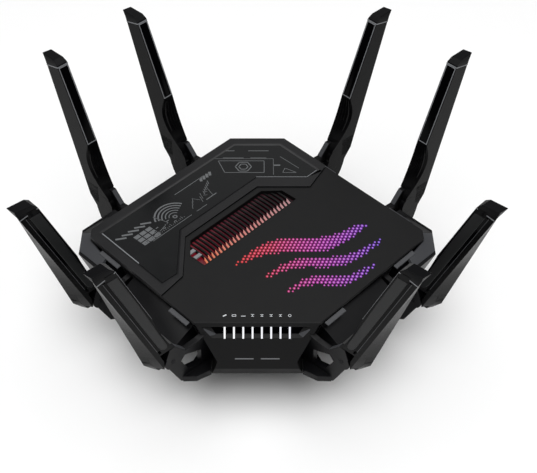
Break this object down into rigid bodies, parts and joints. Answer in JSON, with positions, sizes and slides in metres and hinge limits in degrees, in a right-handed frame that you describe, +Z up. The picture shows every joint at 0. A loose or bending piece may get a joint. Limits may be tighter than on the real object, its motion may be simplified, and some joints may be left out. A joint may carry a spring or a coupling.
{
  "type": "wireless router",
  "caption": "Octagonal desktop wireless router with tilting blade antennas, a dark window and lit vent on top, status light bars in front and sockets at the back.",
  "frame": {"origin": "on the standing surface, under the middle of the octagonal body, which is the centre of the whole object seen from above", "axes": "+Z up, front panel with the status lights towards -Y, socket bay towards +Y, +X to the router's left as it faces its user, that is to the viewer's right"},
  "size_m": [0.3504, 0.3348, 0.1868],
  "materials": {
    "case_black": "fine textured moulded ABS, near black",
    "cover_charcoal": "matte charcoal moulded ABS",
    "frame_grey": "satin dark grey moulded ABS",
    "carrier_grey": "satin dark grey moulded ABS",
    "antenna_black": "semi-gloss black moulded ABS",
    "window_black": "polished black polycarbonate",
    "cap_black": "polished black ABS",
    "smoked_panel": "smoked polycarbonate",
    "grille_black": "black moulded fins lit from below",
    "red_light": "red lit light guide",
    "matrix_light": "coloured light diffuser",
    "white_light": "white lit light pipe",
    "circuit_board": "green solder resist on glass-fibre board",
    "shield_tin": "tinned steel sheet",
    "heatsink_aluminium": "extruded aluminium",
    "socket_black": "black moulded socket body",
    "steel": "plated steel",
    "button_grey": "dark grey moulded button",
    "foot_rubber": "black rubber"
  },
  "bodies": {
    "router_body": {"lower_case": "case_black", "top_cover": "cover_charcoal", "window_frame": "frame_grey", "window_panel": "smoked_panel", "vent_grille": "grille_black", "vent_light_guide": "red_light", "matrix_light_panel": "matrix_light", "light_board": "circuit_board", "front_panel": "cover_charcoal", "led_light_bars": "white_light", "main_board": "circuit_board", "board_screws": "steel", "rf_shields": "shield_tin", "heatsink": "heatsink_aluminium", "ethernet_sockets": "socket_black", "io_board": "circuit_board", "usb_sockets": "steel", "dc_inlet": "socket_black", "rubber_feet": "foot_rubber", "hinge_pins": "steel", "side_carrier_back_left": "carrier_grey", "side_carrier_back_right": "carrier_grey", "side_carrier_front_left": "carrier_grey", "side_carrier_front_right": "carrier_grey"},
    "antenna_back_left": {"antenna_back_left_blade": "antenna_black", "antenna_back_left_window": "window_black", "antenna_back_left_cap": "cap_black", "antenna_back_left_aerial": "circuit_board"},
    "antenna_left_back": {"antenna_left_back_blade": "antenna_black", "antenna_left_back_window": "window_black", "antenna_left_back_cap": "cap_black", "antenna_left_back_aerial": "circuit_board"},
    "antenna_front_left": {"antenna_front_left_blade": "antenna_black", "antenna_front_left_window": "window_black", "antenna_front_left_cap": "cap_black", "antenna_front_left_aerial": "circuit_board"},
    "antenna_left_front": {"antenna_left_front_blade": "antenna_black", "antenna_left_front_window": "window_black", "antenna_left_front_cap": "cap_black", "antenna_left_front_aerial": "circuit_board"},
    "antenna_back_right": {"antenna_back_right_blade": "antenna_black", "antenna_back_right_window": "window_black", "antenna_back_right_cap": "cap_black", "antenna_back_right_aerial": "circuit_board"},
    "antenna_right_back": {"antenna_right_back_blade": "antenna_black", "antenna_right_back_window": "window_black", "antenna_right_back_cap": "cap_black", "antenna_right_back_aerial": "circuit_board"},
    "antenna_front_right": {"antenna_front_right_blade": "antenna_black", "antenna_front_right_window": "window_black", "antenna_front_right_cap": "cap_black", "antenna_front_right_aerial": "circuit_board"},
    "antenna_right_front": {"antenna_right_front_blade": "antenna_black", "antenna_right_front_window": "window_black", "antenna_right_front_cap": "cap_black", "antenna_right_front_aerial": "circuit_board"},
    "power_rocker": {"power_rocker": "button_grey"},
    "wps_button": {"wps_button": "button_grey"},
    "reset_button": {"reset_button": "button_grey"},
    "led_button": {"led_button": "button_grey"}
  },
  "joints": [
    {"name": "antenna_back_left_hinge", "type": "hinge", "parent": "router_body", "child": "antenna_back_left", "pos_m": [-0.06621, 0.12128, 0.06], "axis": [-0.6794, -0.7337, 0], "range_deg": [-22, 20]},
    {"name": "antenna_left_back_hinge", "type": "hinge", "parent": "router_body", "child": "antenna_left_back", "pos_m": [-0.126, 0.05671, 0.06], "axis": [-0.6794, -0.7337, 0], "range_deg": [-22, 20]},
    {"name": "antenna_front_left_hinge", "type": "hinge", "parent": "router_body", "child": "antenna_front_left", "pos_m": [-0.06621, -0.12128, 0.06], "axis": [0.6794, -0.7337, 0], "range_deg": [-22, 20]},
    {"name": "antenna_left_front_hinge", "type": "hinge", "parent": "router_body", "child": "antenna_left_front", "pos_m": [-0.126, -0.05671, 0.06], "axis": [0.6794, -0.7337, 0], "range_deg": [-22, 20]},
    {"name": "antenna_back_right_hinge", "type": "hinge", "parent": "router_body", "child": "antenna_back_right", "pos_m": [0.06621, 0.12128, 0.06], "axis": [-0.6794, 0.7337, 0], "range_deg": [-22, 20]},
    {"name": "antenna_right_back_hinge", "type": "hinge", "parent": "router_body", "child": "antenna_right_back", "pos_m": [0.126, 0.05671, 0.06], "axis": [-0.6794, 0.7337, 0], "range_deg": [-22, 20]},
    {"name": "antenna_front_right_hinge", "type": "hinge", "parent": "router_body", "child": "antenna_front_right", "pos_m": [0.06621, -0.12128, 0.06], "axis": [0.6794, 0.7337, 0], "range_deg": [-22, 20]},
    {"name": "antenna_right_front_hinge", "type": "hinge", "parent": "router_body", "child": "antenna_right_front", "pos_m": [0.126, -0.05671, 0.06], "axis": [0.6794, 0.7337, 0], "range_deg": [-22, 20]},
    {"name": "power_rocker_tilt", "type": "hinge", "parent": "router_body", "child": "power_rocker", "pos_m": [-0.0095, 0.10301, 0.054], "axis": [1, 0, 0], "range_deg": [0, 12]},
    {"name": "wps_button_press", "type": "slide", "parent": "router_body", "child": "wps_button", "axis": [0, -1, 0], "range_m": [0, 0.0012], "stiffness_N_per_m": 300, "springref_m": -0.001},
    {"name": "reset_button_press", "type": "slide", "parent": "router_body", "child": "reset_button", "axis": [0, -1, 0], "range_m": [0, 0.0012], "stiffness_N_per_m": 300, "springref_m": -0.001},
    {"name": "led_button_press", "type": "slide", "parent": "router_body", "child": "led_button", "axis": [0, -1, 0], "range_m": [0, 0.0012], "stiffness_N_per_m": 300, "springref_m": -0.001}
  ]
}
